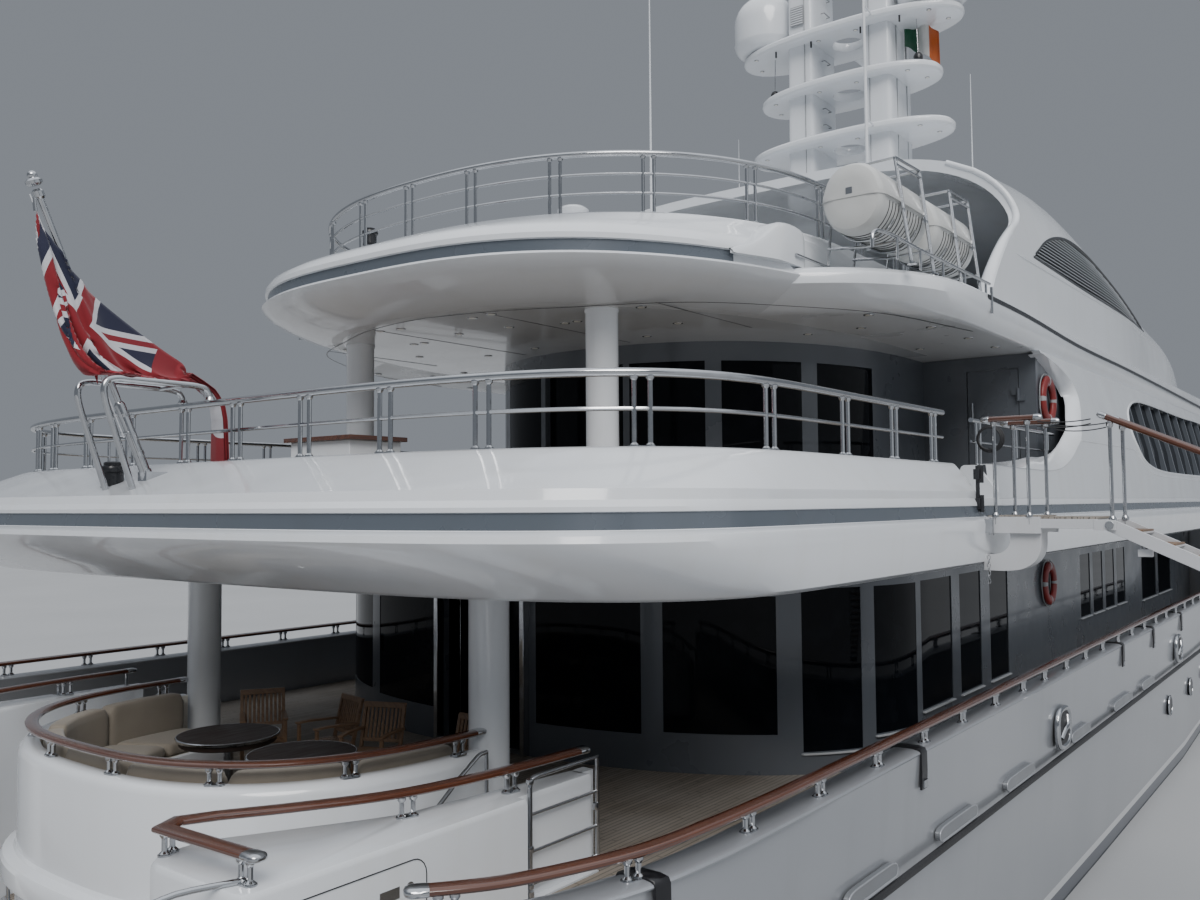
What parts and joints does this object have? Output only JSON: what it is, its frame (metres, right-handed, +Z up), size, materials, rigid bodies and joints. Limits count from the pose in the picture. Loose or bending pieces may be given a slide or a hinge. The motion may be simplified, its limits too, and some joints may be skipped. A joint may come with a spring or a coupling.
{
  "type": "motor yacht, 1:2 scale model",
  "caption": "Three-deck motor yacht afloat, with open aft decks, deck houses, canopy and mast; gates, doors, boarding ladder, radar, propellers and rudders move.",
  "frame": {"origin": "on the waterline plane, on the centreline, amidships", "axes": "+X towards the bow, +Y to port, +Z up"},
  "size_m": [30, 9.7037, 11.6],
  "materials": {
    "white_paint": "gloss",
    "silver_paint": "metallic gloss",
    "dark_grey_paint": "metallic gloss",
    "black_paint": "satin",
    "dark_glass": "tinted",
    "teak": "weathered",
    "varnished_wood": "varnished",
    "dark_wood": "polished",
    "stainless": "polished",
    "bronze": "polished",
    "cushion": "woven",
    "cloth": "woven",
    "raft_shell": "gloss"
  },
  "bodies": {
    "ship": {"hull": "silver_paint", "main_deck_planking": "teak", "settee_block": "white_paint", "settee_cushion": "cushion", "deck_table_1": "dark_wood", "deck_table_2": "dark_wood", "deck_chair_1": "teak", "deck_chair_2": "teak", "deck_chair_3": "teak", "deck_chair_4": "teak", "main_house": "dark_grey_paint", "main_house_glass": "dark_glass", "upper_deck": "white_paint", "upper_deck_planking": "teak", "upper_house": "white_paint", "upper_aft_wall": "dark_grey_paint", "upper_house_glass": "dark_glass", "upper_aft_glass": "dark_glass", "sun_deck": "white_paint", "canopy": "white_paint", "mast": "white_paint", "ensign_staff": "stainless", "stern_hoops": "stainless", "ensign": "cloth", "boarding_landing": "stainless", "upper_deck_rail": "stainless", "sun_deck_rail": "stainless", "settee_rail": "varnished_wood", "bulwark_rail_port": "varnished_wood", "wing_rail_port": "varnished_wood", "stern_wing_port": "white_paint", "main_column_port": "white_paint", "upper_column_port": "white_paint", "louvre_port": "black_paint", "sat_dome_port": "white_paint", "life_rafts_port": "raft_shell", "bulwark_rail_starboard": "varnished_wood", "wing_rail_starboard": "varnished_wood", "stern_wing_starboard": "white_paint", "main_column_starboard": "white_paint", "upper_column_starboard": "white_paint", "louvre_starboard": "black_paint", "sat_dome_starboard": "white_paint", "life_rafts_starboard": "raft_shell"},
    "propeller_port": {"propeller_port": "bronze"},
    "rudder_port": {"rudder_port": "silver_paint"},
    "gate_port": {"gate_port": "stainless"},
    "saloon_door_port": {"saloon_door_port": "dark_glass"},
    "upper_side_door_port": {"upper_side_door_port": "dark_grey_paint"},
    "propeller_starboard": {"propeller_starboard": "bronze"},
    "rudder_starboard": {"rudder_starboard": "silver_paint"},
    "gate_starboard": {"gate_starboard": "stainless"},
    "saloon_door_starboard": {"saloon_door_starboard": "dark_glass"},
    "upper_side_door_starboard": {"upper_side_door_starboard": "dark_grey_paint"},
    "radar_scanner_lower": {"radar_scanner_lower": "white_paint"},
    "radar_scanner_upper": {"radar_scanner_upper": "white_paint"},
    "boarding_ladder": {"boarding_ladder": "stainless"}
  },
  "joints": [
    {"name": "propeller_port_spin", "type": "hinge", "parent": "ship", "child": "propeller_port", "pos_m": [-11.725, 1.3, -1.15], "axis": [1, 0, 0], "continuous": true},
    {"name": "rudder_port_turn", "type": "hinge", "parent": "ship", "child": "rudder_port", "pos_m": [-12.525, 1.3, -1], "axis": [0, 0, 1], "range_deg": [-35, 35]},
    {"name": "gate_port_swing", "type": "hinge", "parent": "ship", "child": "gate_port", "pos_m": [-11.835, 2.015, 1.45], "axis": [0, 0, 1], "range_deg": [0, 90]},
    {"name": "saloon_door_port_slide", "type": "slide", "parent": "ship", "child": "saloon_door_port", "axis": [0, 1, 0], "range_m": [0, 0.35]},
    {"name": "upper_side_door_port_swing", "type": "hinge", "parent": "ship", "child": "upper_side_door_port", "pos_m": [-6.54, 2.516, 3.3], "axis": [0, 0, -1], "range_deg": [0, 95]},
    {"name": "propeller_starboard_spin", "type": "hinge", "parent": "ship", "child": "propeller_starboard", "pos_m": [-11.725, -1.3, -1.15], "axis": [1, 0, 0], "continuous": true},
    {"name": "rudder_starboard_turn", "type": "hinge", "parent": "ship", "child": "rudder_starboard", "pos_m": [-12.525, -1.3, -1], "axis": [0, 0, 1], "range_deg": [-35, 35]},
    {"name": "gate_starboard_swing", "type": "hinge", "parent": "ship", "child": "gate_starboard", "pos_m": [-11.835, -2.015, 1.45], "axis": [0, 0, -1], "range_deg": [0, 90]},
    {"name": "saloon_door_starboard_slide", "type": "slide", "parent": "ship", "child": "saloon_door_starboard", "axis": [0, -1, 0], "range_m": [0, 0.35]},
    {"name": "upper_side_door_starboard_swing", "type": "hinge", "parent": "ship", "child": "upper_side_door_starboard", "pos_m": [-6.54, -2.516, 3.3], "axis": [0, 0, 1], "range_deg": [0, 95]},
    {"name": "radar_lower_spin", "type": "hinge", "parent": "ship", "child": "radar_scanner_lower", "pos_m": [-2.925, 0, 7.15], "axis": [0, 0, 1], "continuous": true},
    {"name": "radar_upper_spin", "type": "hinge", "parent": "ship", "child": "radar_scanner_upper", "pos_m": [-3, 0, 8.4], "axis": [0, 0, 1], "continuous": true},
    {"name": "boarding_ladder_swing", "type": "hinge", "parent": "ship", "child": "boarding_ladder", "pos_m": [-8.75, -3.64, 2.7], "axis": [1, 0, 0], "range_deg": [-25, 10]}
  ]
}
